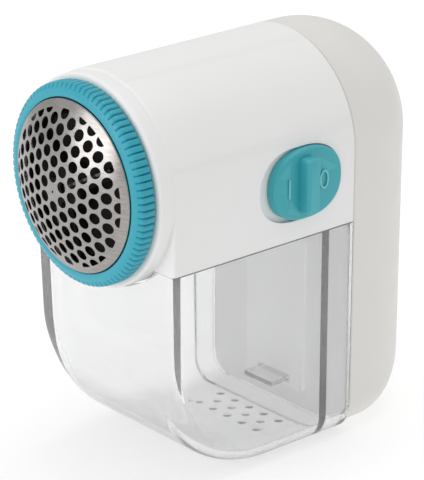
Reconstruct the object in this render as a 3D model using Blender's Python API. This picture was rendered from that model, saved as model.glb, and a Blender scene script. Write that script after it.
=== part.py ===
"""Battery fabric shaver, modelled as it comes apart on a bench.

A barrel-shaped upper housing carries the shaving head at its front: a domed
perforated foil held by a screw ring, with a three-blade rotor turning behind
it on a small motor.  Lint falls through a chute into a clear container below.
The rear housing holds two upright cells behind a pull-off door.

Frame: +Z up, the head faces -Y, the switch is on +X.  The origin is on the
flat underside of the lint container.  Lengths below are millimetres; every
mesh is written in metres.
"""
import math

import bmesh
import bpy
from mathutils import Vector
from mathutils.geometry import delaunay_2d_cdt

MM = 0.001
GAP = 0.3                       # running gap between neighbouring pieces

# body
FRONT_Y = -40.0                 # plane the head is measured from
FACE_Y = FRONT_Y + 0.45         # front face of housing and container
HALF_W = 24.0                   # half width of the body at its back
TAPER = 0.45                    # how much narrower each side is at the front
SEAM_PULL = 0.0125              # how much further the sides draw in at the seam, of the width
TOP_LIFT = 0.2                  # the top narrows less than the sides
HEAD_Z = 68.4                   # barrel, motor and foil axis
SEAM_Z = 52.05                  # lower edge of the front housing
PARTING_Y = FRONT_Y + 52.4      # front housing meets rear housing
REAR_Y = FRONT_Y + 79.8
FRONT_EDGE_R = 0.8              # upright front corners
REAR_R = 21.0                   # rounding of the rear housing
REAR_FOOT_R = 9.0               # its lower corners seen from behind
WALL = 2.0

# lint container
NOSE_R = 27.0                   # sweep from the front face to the base
NOSE_REACH = 29.0               # horizontal reach of the nose curve
CORNER_R = 7.0                  # lower side corners
SIDE_WALL = 2.3
FRONT_WALL = 2.8
INNER_CORNER_R = 4.6
DRAFT = 0.018                   # mould draft, per unit of depth below the seam
BACK_WALL_Y = FRONT_Y + 45.9    # rear face of the container's back wall
LATCH_HALF_W = 4.6
LATCH_Z = (7.9, 9.0)

# face of the rear housing that the container closes against
BOSS_Y = PARTING_Y - 0.4
PANEL_Y = BOSS_Y - 1.0
PANEL_HALF_W = 9.4
PANEL_Z = (6.4, 44.0)

# head
COLLAR_R = 23.4
COLLAR_Y = FRONT_Y - 3.0
SPIGOT_R = 20.5
SPIGOT_Y = FRONT_Y - 5.4
BORE_R = 18.8
CHUTE = (5.5, 18.5)             # chute from the head chamber, behind the front face plane
RING_R = 22.3
RING_EDGE_Y = FRONT_Y - 6.83
RING_LIP_Y = FRONT_Y - 7.7
FOIL_R = 19.1
FOIL_RIM_Y = FRONT_Y - 7.65
FOIL_RISE = 5.2
FOIL_T = 0.5
HOLE_PITCH = 3.3
HOLE_R = 1.28
HOLE_FIELD_R = 17.3

# rotor
BLADE_ANGLES = (28.0, 148.0, 268.0)
BLADE_R = (3.6, 15.6)
PLATE_R = 15.6                  # round plate behind the blades
BLADE_T = 0.6
BLADE_DEPTH = 2.6
SHAFT_R = 1.0

# motor
CAN_R = 10.05
CAN_FLAT = 7.55
CAN_Y = (FRONT_Y + 22.6, FRONT_Y + 45.6)
CAP_T = 2.4

# slide switch
SWITCH_Y = FRONT_Y + 37.25
SWITCH_Z = 65.0
SWITCH_TRAVEL = 2.6
BUTTON_HALF = (10.15, 8.0)      # half length along Y, half height
BUTTON_POWER = 2.3              # squareness of its oval outline
POCKET_X = 22.65
BUTTON_X = (22.95, 25.05)
RIB_X = 27.85
RIB_HALF = (2.0, 6.3)           # half width along Y, half length along Z
RIB_Y = SWITCH_Y - 0.75

# battery bay
CELL_R = 7.15
CELL_X = 7.45
CELL_Y = FRONT_Y + 64.2
CELL_BODY = 49.2
CELL_NUB = 1.3
CRADLE_HALF_W = 15.0
CRADLE_Z = (7.5, 67.2)
DOOR_HALF_W = 16.6
DOOR_Z = (10.0, 70.0)
SCREW_X = 18.6
SCREW_Z = 57.0


# ---------------------------------------------------------------- mesh tools

def clear_scene():
    for obj in list(bpy.data.objects):
        bpy.data.objects.remove(obj, do_unlink=True)


def material(name, color, roughness=0.5, metallic=0.0, transmission=0.0):
    mat = bpy.data.materials.new(name)
    mat.use_nodes = True
    shader = mat.node_tree.nodes["Principled BSDF"]
    shader.inputs["Base Color"].default_value = (*color, 1.0)
    shader.inputs["Roughness"].default_value = roughness
    shader.inputs["Metallic"].default_value = metallic
    shader.inputs["Transmission Weight"].default_value = transmission
    return mat


def finish(name, bm, mat, origin=(0.0, 0.0, 0.0), sharp=30.0):
    """Turn a millimetre bmesh into a metre object with its origin at origin."""
    bmesh.ops.remove_doubles(bm, verts=bm.verts, dist=1e-4)
    bmesh.ops.recalc_face_normals(bm, faces=bm.faces)
    start = Vector(origin)
    for vert in bm.verts:
        vert.co = (vert.co - start) * MM
    mesh = bpy.data.meshes.new(name)
    bm.to_mesh(mesh)
    bm.free()
    mesh.shade_smooth()
    mesh.set_sharp_from_angle(angle=math.radians(sharp))
    if mat:
        mesh.materials.append(mat)
    obj = bpy.data.objects.new(name, mesh)
    obj.location = start * MM
    bpy.context.collection.objects.link(obj)
    return obj


def add_loft(bm, rings, closed=False):
    """Skin equal-length rings of points; capped at both ends unless closed."""
    rows = [[bm.verts.new(point) for point in ring] for ring in rings]
    count = len(rows[0])
    pairs = list(zip(rows, rows[1:]))
    if closed:
        pairs.append((rows[-1], rows[0]))
    for low, high in pairs:
        for i in range(count):
            j = (i + 1) % count
            bm.faces.new((low[i], low[j], high[j], high[i]))
    if not closed:
        bm.faces.new(rows[0])
        bm.faces.new(rows[-1])
    return bm


def loft(rings, closed=False):
    return add_loft(bmesh.new(), rings, closed)


def circle(radius, y, x=0.0, z=HEAD_Z, count=48, start=0.0):
    steps = (start + 2 * math.pi * i / count for i in range(count))
    return [(x + radius * math.cos(a), y, z + radius * math.sin(a)) for a in steps]


def rod(radius, y_low, y_high, x=0.0, z=HEAD_Z, count=24):
    return loft([circle(radius, y_low, x, z, count), circle(radius, y_high, x, z, count)])


def turned(profile, count=48, x=0.0, z=HEAD_Z, closed=True):
    """Turn (radius, y) points about an axis along Y."""
    return loft([circle(r, y, x, z, count) for r, y in profile], closed)


def upright(profile, x, y, count=24):
    """Turn (radius, z) points about an upright axis into a capped solid."""
    rings = []
    for radius, z in profile:
        steps = (2 * math.pi * i / count for i in range(count))
        rings.append([(x + radius * math.cos(a), y + radius * math.sin(a), z) for a in steps])
    return loft(rings)


def prism(points, axis, low, high):
    """Extrude a 2-D outline along X, Y or Z; points are the other two axes in order."""
    def place(point, value):
        coords = list(point)
        coords.insert("XYZ".index(axis), value)
        return coords
    return loft([[place(p, low) for p in points], [place(p, high) for p in points]])


def box(x, y, z):
    outline = [(x[0], y[0]), (x[1], y[0]), (x[1], y[1]), (x[0], y[1])]
    return prism(outline, "Z", z[0], z[1])


def cutter(name, bm):
    """A construction solid used by a Boolean; it isn't part of the object."""
    obj = finish(name, bm, None)
    obj.hide_render = True
    obj.hide_viewport = False
    obj.display_type = "WIRE"
    return obj


def boolean(obj, name, bm, operation="DIFFERENCE"):
    mod = obj.modifiers.new(name, "BOOLEAN")
    mod.operation = operation
    mod.object = cutter(obj.name + "_" + name, bm)
    mod.solver = "EXACT"
    return obj


def cut(obj, name, bm):
    return boolean(obj, name, bm)


def join(obj, name, bm):
    return boolean(obj, name, bm, "UNION")


def arc(center, radius, start, end, count):
    """Points on an arc, angles in degrees, ends included."""
    angles = (math.radians(start + (end - start) * i / count) for i in range(count + 1))
    return [(center[0] + radius * math.cos(a), center[1] + radius * math.sin(a)) for a in angles]


def wire_curve(name, points, radius, mat, sides=1, steps=5):
    """A round wire through hand-placed points, smoothed as a Catmull-Rom curve."""
    ends = [points[0]] + list(points) + [points[-1]]
    knots = [Vector(p) for p in ends]
    path = []
    for p0, p1, p2, p3 in zip(knots, knots[1:], knots[2:], knots[3:]):
        for i in range(steps):
            t = i / steps
            path.append(0.5 * (2 * p1 + (p2 - p0) * t + (2 * p0 - 5 * p1 + 4 * p2 - p3) * t ** 2
                               + (3 * p1 - p0 - 3 * p2 + p3) * t ** 3))
    path.append(knots[-1])
    return tube(name, path, radius, mat, sides)


def tube(name, path, radius, mat, sides=1):
    curve = bpy.data.curves.new(name, "CURVE")
    curve.dimensions = "3D"
    curve.bevel_depth = radius * MM
    curve.bevel_resolution = sides
    curve.use_fill_caps = True
    spline = curve.splines.new("POLY")
    spline.points.add(len(path) - 1)
    for knot, point in zip(spline.points, path):
        knot.co = (*(Vector(point) * MM), 1.0)
    curve.materials.append(mat)
    obj = bpy.data.objects.new(name, curve)
    bpy.context.collection.objects.link(obj)
    return obj


def coil(turns, radii, span, per_turn=10):
    """Points (a, b, along) of a helix whose radius runs from radii[0] to radii[1]."""
    count = int(turns * per_turn)
    for i in range(count + 1):
        t = i / count
        angle = 2 * math.pi * turns * t
        radius = radii[0] + (radii[1] - radii[0]) * t
        yield radius * math.cos(angle), radius * math.sin(angle), span[0] + (span[1] - span[0]) * t


# ---------------------------------------------------------------- body shapes

def barrel_ring(y, half_w, z_low, corner, arc_steps=28, corner_steps=5):
    """Front-view outline: round top about the head axis, upright sides, lower corners."""
    cx = half_w - corner
    points = arc((cx, z_low + corner), corner, -90, 0, corner_steps)
    points += arc((0.0, HEAD_Z), half_w, 0, 180, arc_steps)
    points += arc((-cx, z_low + corner), corner, 180, 270, corner_steps)
    return [drawn_in(x, y, z) for x, z in points]


def drawn_in(x, y, z):
    """Pull a point of the front outline in towards the seam, and lift the front of the top."""
    if z < HEAD_Z:
        x *= 1.0 - SEAM_PULL * fade(y) * (HEAD_Z - z) / (HEAD_Z - SEAM_Z)
    else:
        z += TOP_LIFT * fade(y) * (z - HEAD_Z) / HALF_W
    return (x, y, z)



def fade(y):
    """0 from the parting line back, growing to 1 at the front face."""
    return max(PARTING_Y - y, 0.0) / (PARTING_Y - FACE_Y)


def body_half(y):
    """Half width of the body; the front part narrows a little towards the head."""
    return HALF_W - TAPER * fade(y)


def seam_half(y):
    """Half width at the container's seam, where the sides are drawn in further."""
    return body_half(y) * (1.0 - SEAM_PULL * fade(y))


def edge_stations(radius, steps=2):
    """Distances behind the front face that follow its rounded edge."""
    return [radius - radius * math.cos(math.radians(90.0 * i / steps)) for i in range(steps + 1)]


def edge_inset(distance, radius):
    """How far the rounded front edge pulls the outline in at this distance."""
    if distance >= radius:
        return 0.0
    return radius - math.sqrt(max(radius ** 2 - (radius - distance) ** 2, 0.0))


def nose_floor(distance):
    """Height of the container's underside at this distance behind its front face."""
    if distance >= NOSE_REACH:
        return 0.0
    part = (NOSE_REACH - distance) / NOSE_REACH
    return NOSE_R * (1.0 - math.sqrt(max(1.0 - part ** 2, 0.0)))


def cavity_floor(distance):
    """Height of the container's inner floor; the front wall is thicker than the floor."""
    if distance >= NOSE_REACH:
        return WALL
    part = (NOSE_REACH - distance) / (NOSE_REACH - FRONT_WALL)
    return NOSE_R - (NOSE_R - WALL) * math.sqrt(max(1.0 - part ** 2, 0.0))


def tub_ring(y, half_w, z_low, corner, top, corner_steps=6):
    """Outline of the container at one station, drawn in with the mould's draft."""
    cx = half_w - corner
    points = arc((cx, z_low + corner), corner, -90, 0, corner_steps)
    points += [(half_w, top), (-half_w, top)]
    points += arc((-cx, z_low + corner), corner, 180, 270, corner_steps)
    ring = []
    for x, z in points:
        draw = DRAFT * (SEAM_Z - z) * fade(y)
        ring.append((x * (1.0 - draw / HALF_W), y + draw, z))
    return ring


def outer_ring(distance, top):
    y = FACE_Y + distance
    half_w = seam_half(y) - edge_inset(distance, FRONT_EDGE_R)
    return tub_ring(y, half_w, nose_floor(distance), CORNER_R, top)


def cavity_ring(distance, top):
    y = FACE_Y + distance
    return tub_ring(y, seam_half(y) - SIDE_WALL, cavity_floor(distance), INNER_CORNER_R, top)


def nose_stations(reach, steps=9):
    return [NOSE_REACH - reach * math.cos(math.radians(90.0 * i / steps)) for i in range(steps + 1)]


def rear_ring(y, wall):
    """Outline of the rear housing; it shrinks towards the back on a round edge."""
    reach = max(y - (REAR_Y - REAR_R), 0.0)
    inner = REAR_R - wall
    drop = inner - math.sqrt(max(inner ** 2 - reach ** 2, 0.0))
    half_w = HALF_W - wall - drop
    z_low = wall + drop
    corner = min(REAR_FOOT_R - wall, half_w - 0.3)
    return barrel_ring(y, half_w, z_low, corner)


def rear_stations(first, wall, steps=7):
    start = REAR_Y - REAR_R
    inner = REAR_R - wall
    return [first] + [start + inner * math.sin(math.radians(90.0 * i / steps))
                      for i in range(steps + 1)]


# ---------------------------------------------------------------- housing

def make_front_housing(mat):
    rear = PARTING_Y - GAP / 2
    stations = edge_stations(FRONT_EDGE_R) + [rear - FACE_Y]
    rings = [barrel_ring(FACE_Y + d, body_half(FACE_Y + d) - edge_inset(d, FRONT_EDGE_R), SEAM_Z, 0.4)
             for d in stations]
    shell = finish("front_housing", loft(rings), mat)
    inner = [barrel_ring(y, body_half(y) - WALL, SEAM_Z + WALL, 0.6)
             for y in (FACE_Y + WALL, rear, rear + 5)]
    cut(shell, "cavity", loft(inner))
    cut(shell, "front_bore", rod(21.2, FRONT_Y - 5, FRONT_Y + 3.2, count=48))
    chute_y = (FRONT_Y + CHUTE[0], FRONT_Y + CHUTE[1])
    cut(shell, "chute", box((-15.5, 15.5), chute_y, (SEAM_Z - 3, SEAM_Z + 5)))
    collar = [(BORE_R, SPIGOT_Y), (SPIGOT_R, SPIGOT_Y), (SPIGOT_R, COLLAR_Y),
              (COLLAR_R - 0.7, COLLAR_Y), (COLLAR_R, COLLAR_Y + 0.7), (COLLAR_R, FRONT_Y + 3.6),
              (20.2, FRONT_Y + 3.6), (20.2, FRONT_Y - 1.2), (BORE_R, FRONT_Y - 1.2)]
    join(shell, "collar", turned(collar, 58))
    for side in (-1, 1):
        name = "left" if side < 0 else "right"
        post = rod(3.2, rear - 13, rear - 0.1, side * SCREW_X, SCREW_Z, 16)
        join(shell, "post_" + name, post)
        cut(shell, "pilot_" + name, rod(1.4, rear - 11, rear + 3, side * SCREW_X, SCREW_Z, 12))
    cut(shell, "pocket", prism(button_outline(GAP, SWITCH_TRAVEL), "X", POCKET_X, HALF_W + 6))
    slot_y = (SWITCH_Y - SWITCH_TRAVEL - 2.8, SWITCH_Y + 2.8)
    cut(shell, "slot", box((POCKET_X - 4, POCKET_X + 4), slot_y, (SWITCH_Z - 2.8, SWITCH_Z + 2.8)))
    return shell


def button_outline(grow=0.0, travel=0.0, steps=14):
    """The button's oval outline in (y, z), its front half moved forward by a travel."""
    points = []
    for shift, start in ((0.0, -90), (-travel, 90)):
        for i in range(steps + 1):
            angle = math.radians(start + 180 * i / steps)
            across, up = math.cos(angle), math.sin(angle)
            y = (BUTTON_HALF[0] + grow) * math.copysign(abs(across) ** (2 / BUTTON_POWER), across)
            z = (BUTTON_HALF[1] + grow) * math.copysign(abs(up) ** (2 / BUTTON_POWER), up)
            points.append((SWITCH_Y + shift + y, SWITCH_Z + z))
    if travel == 0.0:
        del points[steps], points[-1]
    return points


def make_rear_housing(mat):
    first = PARTING_Y + GAP / 2
    rings = [rear_ring(y, 0.0) for y in rear_stations(first, 0.0)]
    shell = finish("rear_housing", loft(rings), mat)
    boss_x = HALF_W - WALL - GAP - 0.2
    boss_top = SEAM_Z - 0.5
    boss = arc((boss_x - 4.5, 7.3), 4.5, -90, 0, 5) + arc((boss_x - 2.5, boss_top - 2.5), 2.5, 0, 90, 4)
    boss += [(-x, z) for x, z in reversed(boss)]
    join(shell, "boss", prism(boss, "Y", BOSS_Y, first + 1.5))
    join(shell, "panel", box((-PANEL_HALF_W, PANEL_HALF_W), (PANEL_Y, BOSS_Y + 0.6), PANEL_Z))
    inner = [rear_ring(y, WALL + 0.2) for y in rear_stations(first + 2.2, WALL + 0.2)]
    cut(shell, "cavity", loft(inner))
    opening = [barrel_ring(y, HALF_W - WALL - 0.2, SEAM_Z + 2.2, 0.6) for y in (first - 9, first + 5)]
    cut(shell, "front_opening", loft(opening))
    cut(shell, "latch_slot", box((-LATCH_HALF_W - 0.8, LATCH_HALF_W + 0.8), (PANEL_Y - 2, BOSS_Y + 1.1),
                                 (LATCH_Z[0] - 0.5, LATCH_Z[1] + 0.5)))
    for side in (-1, 1):
        name = "left" if side < 0 else "right"
        join(shell, "post_" + name, rod(3.2, first + 0.1, first + 5.5, side * SCREW_X, SCREW_Z, 16))
        cut(shell, "pilot_" + name, rod(1.4, first - 3, first + 8, side * SCREW_X, SCREW_Z, 12))
    door_hole = box((-DOOR_HALF_W - GAP, DOOR_HALF_W + GAP), (CELL_Y + 3, REAR_Y + 5),
                    (DOOR_Z[0] - GAP, DOOR_Z[1] + GAP))
    cut(shell, "door_opening", door_hole)
    return shell


def make_battery_door(mat):
    """The back panel, cut from the same rounded shell, with three grip ribs."""
    start = REAR_Y - REAR_R
    rings = [rear_ring(y, 0.0) for y in rear_stations(start - 4, 0.0)]
    door = finish("battery_door", loft(rings), mat)
    inner = [rear_ring(y, WALL) for y in rear_stations(start - 8, WALL)]
    cut(door, "inside", loft(inner))
    panel = box((-DOOR_HALF_W, DOOR_HALF_W), (CELL_Y + 6, REAR_Y + 5), DOOR_Z)
    boolean(door, "panel", panel, "INTERSECT")
    for number in range(3):
        z = DOOR_Z[1] - 19.0 + 3.0 * number
        rib = box((-6.0, 6.0), (REAR_Y - 1.0, REAR_Y + 0.6), (z - 0.6, z + 0.6))
        join(door, "grip_%d" % (number + 1), rib)
    return door


def make_dust_container(mat):
    top = SEAM_Z - GAP
    back = PARTING_Y - GAP / 2
    outer = sorted(edge_stations(FRONT_EDGE_R) + nose_stations(NOSE_REACH)[1:] + [back - FACE_Y])
    tub = finish("dust_container", loft([outer_ring(d, top) for d in outer]), mat)
    inner = nose_stations(NOSE_REACH - FRONT_WALL) + [BACK_WALL_Y - WALL - FACE_Y]
    cut(tub, "inside", loft([cavity_ring(d, top + 5) for d in inner]))
    skirt = [tub_ring(y, seam_half(y) - WALL, WALL, CORNER_R - WALL, top + 5)
             for y in (BACK_WALL_Y, PARTING_Y, back + 5)]
    cut(tub, "skirt", loft(skirt))
    cut(tub, "collar_notch", rod(COLLAR_R + 0.5, FRONT_Y - 4, FRONT_Y + 4.5, count=56))
    tip = PANEL_Y + 1.6
    tongue = [(BACK_WALL_Y - 0.8, LATCH_Z[0]), (tip - 0.2, LATCH_Z[0]), (tip, LATCH_Z[0] + 0.5),
              (tip - 0.7, LATCH_Z[1]), (BACK_WALL_Y - 0.8, LATCH_Z[1])]
    join(tub, "tongue", prism(tongue, "X", -LATCH_HALF_W, LATCH_HALF_W))
    return tub


# ---------------------------------------------------------------- head

def dome_y(radius, inset=0.0):
    """Y of the foil's dome, or of a surface this far inside it, at a radius."""
    sphere = (FOIL_R ** 2 + FOIL_RISE ** 2) / (2 * FOIL_RISE)
    center = FOIL_RIM_Y - FOIL_RISE + sphere
    return center - math.sqrt((sphere - inset) ** 2 - radius ** 2)


def hole_centres():
    """Close-packed rows of holes; the middle one is left solid."""
    centres = []
    column_pitch = HOLE_PITCH * math.sqrt(3) / 2
    reach = int(HOLE_FIELD_R / HOLE_PITCH) + 2
    for column in range(-reach, reach + 1):
        for row in range(-reach, reach + 1):
            x = column * column_pitch
            z = (row + 0.5 * (column % 2)) * HOLE_PITCH
            if 0.1 < math.hypot(x, z) < HOLE_FIELD_R - HOLE_R * 0.75:
                centres.append((x, z))
    return centres


def make_foil(mat):
    """Perforated dome with a turned-back rim and a clamping flange."""
    sides, rim_count = 6, 48
    points, loops = [], []
    for x, z in hole_centres():
        first = len(points)
        points += arc((x, z), HOLE_R, 0, 360 - 360 / sides, sides - 1)
        loops.append(list(range(first, first + sides)))
    rim = []
    for i in range(rim_count):
        angle = 2 * math.pi * i / rim_count
        rim.append(len(points))
        points.append((FOIL_R * math.cos(angle), FOIL_R * math.sin(angle)))
    edges = [(loop[i], loop[(i + 1) % len(loop)]) for loop in loops + [rim] for i in range(len(loop))]
    result = delaunay_2d_cdt([Vector(p) for p in points], edges, [], 1, 1e-6)
    flat_points, faces = result[0], result[2]
    bm = bmesh.new()
    front, back = [], []
    for point in flat_points:
        radius = min(point.length, FOIL_R)
        inner = point * ((FOIL_R - FOIL_T) / FOIL_R) if radius > FOIL_R - 0.01 else point
        front.append(bm.verts.new((point.x, dome_y(radius), HEAD_Z + point.y)))
        back.append(bm.verts.new((inner.x, dome_y(min(inner.length, FOIL_R), FOIL_T),
                                  HEAD_Z + inner.y)))
    centres = hole_centres()
    for face in faces:
        middle = sum((flat_points[i] for i in face), Vector((0.0, 0.0))) / len(face)
        if min(math.hypot(middle.x - x, middle.y - z) for x, z in centres) < HOLE_R * 0.72:
            continue
        bm.faces.new([front[i] for i in face])
        bm.faces.new([back[i] for i in reversed(face)])
    for loop in loops:
        for i in range(len(loop)):
            j = (i + 1) % len(loop)
            bm.faces.new((front[loop[i]], front[loop[j]], back[loop[j]], back[loop[i]]))
    flange = [(FOIL_R, SPIGOT_Y - 0.95), (FOIL_R + 1.3, SPIGOT_Y - 0.95),
              (FOIL_R + 1.3, SPIGOT_Y - GAP), (FOIL_R - FOIL_T, SPIGOT_Y - GAP)]
    rings = [[front[i] for i in rim]]
    for radius, y in flange:
        rings.append([bm.verts.new(p) for p in circle(radius, y, count=rim_count)])
    rings.append([back[i] for i in rim])
    for low, high in zip(rings, rings[1:]):
        for i in range(rim_count):
            j = (i + 1) % rim_count
            bm.faces.new((low[i], low[j], high[j], high[i]))
    return finish("foil_screen", bm, mat, (0.0, FOIL_RIM_Y, HEAD_Z))


def make_guard_ring(mat):
    lip = FOIL_R + GAP
    groove = SPIGOT_R + 0.4
    profile = [(lip, RING_LIP_Y), (lip + 0.5, RING_LIP_Y - 0.15), (RING_R - 0.9, RING_EDGE_Y - 0.35),
               (RING_R, RING_EDGE_Y + 0.3), (RING_R, COLLAR_Y - GAP), (groove, COLLAR_Y - GAP),
               (groove, SPIGOT_Y - 0.95 - GAP), (lip, SPIGOT_Y - 0.95 - GAP)]
    return finish("guard_ring", turned(profile, 64), mat, (0.0, RING_EDGE_Y, HEAD_Z))


# ---------------------------------------------------------------- rotor

def radial(points, angle, half_t):
    """A plate whose outline is (radius, y), standing radially at an angle."""
    a = math.radians(angle)
    along = (math.cos(a), math.sin(a))
    across = (-math.sin(a), math.cos(a))
    rings = []
    for side in (-half_t, half_t):
        rings.append([(r * along[0] + side * across[0], y, HEAD_Z + r * along[1] + side * across[1])
                      for r, y in points])
    return loft(rings)


def blade_profile(clear, low, high, depth, steps=5):
    """Front edge follows the inside of the dome at this clearance."""
    radii = [low + (high - low) * i / steps for i in range(steps + 1)]
    front = [(r, dome_y(r, FOIL_T + clear)) for r in radii]
    rear = [(r, y + depth) for r, y in reversed(front)]
    return front + rear


def make_blade_carrier(mat, origin):
    hub_front = dome_y(0.0, FOIL_T) + 2.6
    hub = [(1.3, hub_front), (4.6, hub_front), (5.0, hub_front + 0.4), (5.0, FRONT_Y - 3.0),
           (1.3, FRONT_Y - 3.0)]
    carrier = finish("blade_carrier", turned(hub, 24), mat, origin)
    plate = [(1.3, FRONT_Y - 4.8), (PLATE_R - 0.4, FRONT_Y - 4.8), (PLATE_R, FRONT_Y - 4.4),
             (PLATE_R, FRONT_Y - 3.4), (1.3, FRONT_Y - 3.4)]
    join(carrier, "plate", turned(plate, 40))
    for number, angle in enumerate(BLADE_ANGLES, 1):
        arm = [(3.2, dome_y(3.2, FOIL_T + 3.0)), (BLADE_R[1] + 0.6, dome_y(BLADE_R[1], FOIL_T + 2.0)),
               (BLADE_R[1] + 0.6, FRONT_Y - 4.4), (3.2, FRONT_Y - 3.4)]
        join(carrier, "arm_%d" % number, radial(arm, angle, 1.9))
        slot = blade_profile(0.0, BLADE_R[0] - GAP, BLADE_R[1] + GAP, BLADE_DEPTH + 0.35 + GAP)
        cut(carrier, "slot_%d" % number, radial(slot, angle, BLADE_T / 2 + GAP))
    return carrier


def make_blades(mat, origin):
    for number, angle in enumerate(BLADE_ANGLES, 1):
        outline = blade_profile(0.35, BLADE_R[0], BLADE_R[1], BLADE_DEPTH)
        finish("blade_%d" % number, radial(outline, angle, BLADE_T / 2), mat, origin)


def make_drive_hub(mat, origin):
    profile = [(1.3, FRONT_Y + 3.0), (4.2, FRONT_Y + 3.0), (4.2, FRONT_Y + 4.6), (3.1, FRONT_Y + 5.2),
               (3.1, FRONT_Y + 17.5), (1.3, FRONT_Y + 17.5)]
    return finish("drive_hub", turned(profile, 20), mat, origin)


def make_rotor_spring(mat):
    span = (FRONT_Y - 2.3, FRONT_Y + 2.3)
    path = [(x, y, HEAD_Z + z) for x, z, y in coil(4, (2.5, 2.5), span)]
    return tube("rotor_spring", path, 0.3, mat)


# ---------------------------------------------------------------- motor

def flat_can(radius, flat, y, count=10):
    """Round can outline with its top and bottom flattened, at one station."""
    tilt = math.degrees(math.asin(flat / radius))
    points = arc((0.0, HEAD_Z), radius, -tilt, tilt, count)
    points += arc((0.0, HEAD_Z), radius, 180 - tilt, 180 + tilt, count)
    return [(x, y, z) for x, z in points]


def make_motor(steel, plastic, brass, magnet, copper, origin):
    can = finish("motor_can", loft([flat_can(CAN_R, CAN_FLAT, y) for y in CAN_Y]), steel)
    cut(can, "inside", loft([flat_can(CAN_R - 0.8, CAN_FLAT - 0.8, y)
                             for y in (CAN_Y[0] + 1.0, CAN_Y[1] + 4)]))
    join(can, "boss", rod(3.0, CAN_Y[0] - 1.7, CAN_Y[0] + 0.5, count=20))
    cut(can, "bearing", rod(SHAFT_R + GAP, CAN_Y[0] - 5, CAN_Y[0] + 3, count=16))
    cap_y = (CAN_Y[1] + GAP, CAN_Y[1] + GAP + CAP_T)
    cap = finish("motor_end_cap", loft([flat_can(CAN_R, CAN_FLAT, y) for y in cap_y]), plastic)
    join(cap, "boss", rod(3.2, cap_y[1] - 0.5, cap_y[1] + 1.2, count=20))
    cut(cap, "bearing", rod(SHAFT_R + GAP, cap_y[0] - 4, cap_y[1] + 4, count=16))
    for side in (-1, 1):
        name = "left" if side < 0 else "right"
        tab_x = (side * 5.6 - 1.1, side * 5.6 + 1.1)
        tab = box(tab_x, (cap_y[1] + GAP, cap_y[1] + 3.2), (HEAD_Z - 0.3, HEAD_Z + 0.3))
        finish("motor_tab_" + name, tab, brass)
        low, high = (-48, 48) if side > 0 else (132, 228)
        outer = arc((0.0, HEAD_Z), CAN_R - 0.8 - GAP, low, high, 8)
        inner = arc((0.0, HEAD_Z), 7.6, high, low, 8)
        finish("motor_magnet_" + name, prism(outer + inner, "Y", CAN_Y[0] + 5, CAN_Y[1] - 4), magnet)
    armature = [(1.3, CAN_Y[0] + 6), (6.3, CAN_Y[0] + 6), (6.3, CAN_Y[1] - 5), (2.6, CAN_Y[1] - 5),
                (2.6, CAN_Y[1] - 1.2), (1.3, CAN_Y[1] - 1.2)]
    finish("motor_armature", turned(armature, 18), copper, origin)
    shaft = rod(SHAFT_R, dome_y(0.0, FOIL_T) + 3.2, cap_y[1] + 2.4, count=14)
    finish("motor_shaft", shaft, steel, origin)


def make_motor_mount(mat):
    """Wall between lint chamber and motor, with a cradle under the can."""
    plate_y = (FRONT_Y + 19.6, FRONT_Y + 22.2)
    rings = [barrel_ring(y, body_half(y) - WALL - GAP, SEAM_Z + WALL + GAP, 0.6, 20, 2) for y in plate_y]
    mount = finish("motor_mount", loft(rings), mat)
    low, high = SEAM_Z + WALL + GAP, HEAD_Z - 2.0
    cradle = box((-12.2, 12.2), (plate_y[1] - 0.5, CAN_Y[1] - 3), (low, high))
    join(mount, "cradle", cradle)
    seat = loft([flat_can(CAN_R + GAP, CAN_FLAT + GAP, y) for y in (plate_y[1] + 0.1, CAN_Y[1] + 5)])
    cut(mount, "seat", seat)
    cut(mount, "hub_hole", rod(3.6, plate_y[0] - 4, plate_y[1] + 4, count=24))
    hollow = box((-9.5, 9.5), (plate_y[1] + 4, CAN_Y[1] - 6), (low - 3, low + 4))
    cut(mount, "core", hollow)
    return mount


# ---------------------------------------------------------------- switch

def make_switch(teal, steel, black):
    origin = (BUTTON_X[1], SWITCH_Y, SWITCH_Z)
    disc = []
    for x, inset in ((BUTTON_X[0], 0.0), (BUTTON_X[1] - 0.6, 0.0), (BUTTON_X[1], 0.6)):
        disc.append([(x, y, z) for y, z in button_outline(-inset)])
    button = finish("switch_button", loft(disc), teal, origin)
    rib_root = BUTTON_X[1] - 0.8
    rib = []
    for x, inset in ((rib_root, 0.0), (RIB_X - 0.6, 0.25), (RIB_X, 0.8)):
        half_y, half_z = RIB_HALF[0] - inset, RIB_HALF[1] - inset
        rib.append([(x, RIB_Y + sy * half_y, SWITCH_Z + sz * half_z)
                    for sy, sz in ((-1, -1), (1, -1), (1, 1), (-1, 1))])
    join(button, "rib", loft(rib))
    join(button, "shank", box((19.6, BUTTON_X[0] + 0.8), (SWITCH_Y - 2.4, SWITCH_Y + 2.4),
                              (SWITCH_Z - 2.4, SWITCH_Z + 2.4)))
    cut(button, "socket", box((18.0, 22.2), (SWITCH_Y - 1.3, SWITCH_Y + 1.3),
                              (SWITCH_Z - 1.3, SWITCH_Z + 1.3)))
    lever = box((15.9, 21.8), (SWITCH_Y - 1.0, SWITCH_Y + 1.0), (SWITCH_Z - 1.0, SWITCH_Z + 1.0))
    finish("switch_lever", lever, black, origin)
    mid_y = SWITCH_Y - SWITCH_TRAVEL / 2
    can = box((14.2, 19.1), (mid_y - 6.0, mid_y + 6.0), (SWITCH_Z - 3.2, SWITCH_Z + 3.2))
    can = finish("slide_switch_can", can, steel)
    cut(can, "track", box((15.4, 22.0), (mid_y - 2.4, mid_y + 2.4), (SWITCH_Z - 1.4, SWITCH_Z + 1.4)))
    return button


# ---------------------------------------------------------------- batteries

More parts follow.
